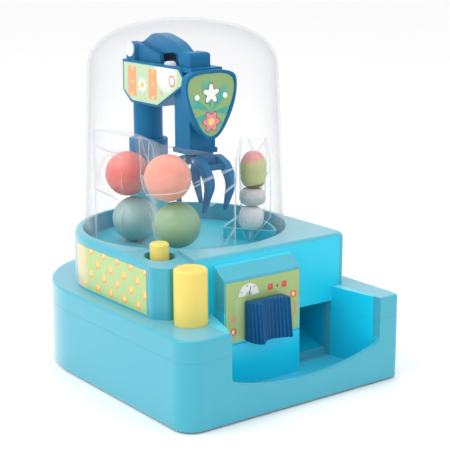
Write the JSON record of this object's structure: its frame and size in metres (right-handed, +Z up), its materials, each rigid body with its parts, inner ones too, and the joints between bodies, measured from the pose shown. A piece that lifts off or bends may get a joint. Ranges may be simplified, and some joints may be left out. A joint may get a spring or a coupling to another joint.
{
  "type": "toy claw crane machine",
  "caption": "Table-top toy crane game: tiered base with prize tray and chute, clear dome, swivelling crane arm with a gripping claw, push buttons, slider knob and bagged prizes.",
  "frame": {"origin": "middle of the base's footprint, on the surface that the feet stand on", "axes": "+X to the right along the tray side, +Y from the tray side to the back, +Z up"},
  "size_m": [0.16, 0.198, 0.218],
  "materials": {
    "cyan_body": "satin moulded",
    "teal_floor": "satin moulded",
    "clear_dome": "clear polished plastic",
    "crane_blue": "satin moulded",
    "column_collar": "satin moulded",
    "white_plastic": "satin moulded",
    "claw_blue": "satin moulded",
    "button_yellow": "satin moulded",
    "knob_blue": "satin moulded",
    "label_print": "printed film",
    "steel": "plain",
    "spring_steel": "plain",
    "rubber_grey": "matt",
    "ball_coral": "gloss",
    "ball_grey": "gloss",
    "ball_peach": "gloss",
    "ball_green": "gloss",
    "bun_white": "soft matt",
    "bun_grey": "soft matt",
    "dumpling": "soft matt",
    "pouch_film": "clear film"
  },
  "bodies": {
    "base": {"base_shell": "cyan_body", "top_shell": "cyan_body", "case_screws": "steel", "rubber_feet": "rubber_grey", "lever_pins": "steel", "play_floor": "teal_floor", "prize_chute": "cyan_body", "column_collar": "column_collar", "side_label": "label_print", "control_box": "cyan_body", "control_label": "label_print", "prize_ball_coral": "ball_coral", "prize_ball_grey": "ball_grey", "prize_ball_peach": "ball_peach", "prize_ball_green": "ball_green", "prize_bun_white": "bun_white", "prize_bun_grey": "bun_grey", "prize_dumpling": "dumpling", "ball_pouch": "pouch_film", "small_pouch": "pouch_film", "drop_spring": "spring_steel", "grip_spring": "spring_steel"},
    "dome_cover": {"dome": "clear_dome"},
    "crane": {"crane_post": "crane_blue", "post_retainer": "steel", "swivel_crank": "white_plastic", "head_left": "crane_blue", "head_right": "crane_blue", "guide_roller": "white_plastic", "rocker_pin": "steel", "rocker_caps": "white_plastic", "shield": "crane_blue", "shield_label": "label_print", "head_label_left": "label_print", "head_label_right": "label_print"},
    "rocker": {"rocker_lever": "crane_blue"},
    "pull_rod": {"drop_rod": "steel"},
    "squeeze_rod": {"grip_rod": "steel"},
    "plunger": {"claw_plunger": "claw_blue", "jaw_pins": "steel"},
    "claw_slider": {"grip_slider": "claw_blue"},
    "front_jaw": {"jaw_front": "claw_blue"},
    "rear_jaw": {"jaw_rear": "claw_blue"},
    "knob": {"slider_knob": "knob_blue", "slider_link": "white_plastic"},
    "tall_button": {"drop_button": "button_yellow"},
    "small_button": {"grip_button": "button_yellow"},
    "lower_lever": {"drop_lever": "white_plastic"},
    "upper_lever": {"grip_lever": "white_plastic"}
  },
  "joints": [
    {"name": "dome_lift", "type": "slide", "parent": "base", "child": "dome_cover", "axis": [0, 0, 1], "range_m": [0, 0.145]},
    {"name": "crane_swivel", "type": "hinge", "parent": "base", "child": "crane", "pos_m": [0, 0.0567, 0], "axis": [0, 0, 1], "range_deg": [-2, 12]},
    {"name": "knob_slide", "type": "slide", "parent": "base", "child": "knob", "axis": [1, 0, 0], "range_m": [-0.0009, 0.0053]},
    {"name": "drop_press", "type": "slide", "parent": "base", "child": "tall_button", "axis": [0, 0, -1], "range_m": [0, 0.012], "stiffness_N_per_m": 150, "springref_m": -0.012, "deforming": ["drop_spring"]},
    {"name": "drop_lever_tilt", "type": "hinge", "parent": "base", "child": "lower_lever", "pos_m": [0, 0.0747, 0.0215], "axis": [1, 0, 0], "range_deg": [0, 4.8]},
    {"name": "drop_rod_pull", "type": "slide", "parent": "crane", "child": "pull_rod", "axis": [0, 0, -1], "range_m": [0, 0.0021]},
    {"name": "rocker_tilt", "type": "hinge", "parent": "crane", "child": "rocker", "pos_m": [0, 0.06, 0.196], "axis": [1, 0, 0], "range_deg": [0, 12.6]},
    {"name": "claw_drop", "type": "slide", "parent": "crane", "child": "plunger", "axis": [0, 0, -1], "range_m": [0, 0.012]},
    {"name": "grip_press", "type": "slide", "parent": "base", "child": "small_button", "axis": [0, 0, -1], "range_m": [0, 0.005], "stiffness_N_per_m": 150, "springref_m": -0.008, "deforming": ["grip_spring"]},
    {"name": "grip_lever_tilt", "type": "hinge", "parent": "base", "child": "upper_lever", "pos_m": [0, 0.088, 0.0325], "axis": [1, 0, 0], "range_deg": [0, 2.4]},
    {"name": "grip_rod_pull", "type": "slide", "parent": "crane", "child": "squeeze_rod", "axis": [0, 0, -1], "range_m": [0, 0.0012]},
    {"name": "grip_slide", "type": "slide", "parent": "plunger", "child": "claw_slider", "axis": [0, 0, 1], "range_m": [0, 0.0016]},
    {"name": "jaw_front_close", "type": "hinge", "parent": "plunger", "child": "front_jaw", "pos_m": [0, -0.0082, 0.1326], "axis": [1, 0, 0], "range_deg": [0, 20.1]},
    {"name": "jaw_rear_close", "type": "hinge", "parent": "plunger", "child": "rear_jaw", "pos_m": [0, 0.0008, 0.1326], "axis": [-1, 0, 0], "range_deg": [0, 20.1]}
  ],
  "couplings": [
    {"joint": "knob_slide", "follows": "crane_swivel", "m_per_rad": 0.025},
    {"joint": "drop_lever_tilt", "follows": "drop_press", "rad_per_m": 6.935},
    {"joint": "drop_rod_pull", "follows": "drop_press", "ratio": 0.16644},
    {"joint": "rocker_tilt", "follows": "drop_press", "rad_per_m": 18.17},
    {"joint": "claw_drop", "follows": "drop_press", "ratio": 1},
    {"joint": "grip_lever_tilt", "follows": "grip_press", "rad_per_m": 8.0645},
    {"joint": "grip_rod_pull", "follows": "grip_press", "ratio": 0.21855},
    {"joint": "grip_slide", "follows": "grip_press", "ratio": 0.3},
    {"joint": "jaw_front_close", "follows": "grip_press", "rad_per_m": 69.81},
    {"joint": "jaw_rear_close", "follows": "grip_press", "rad_per_m": 69.81}
  ]
}
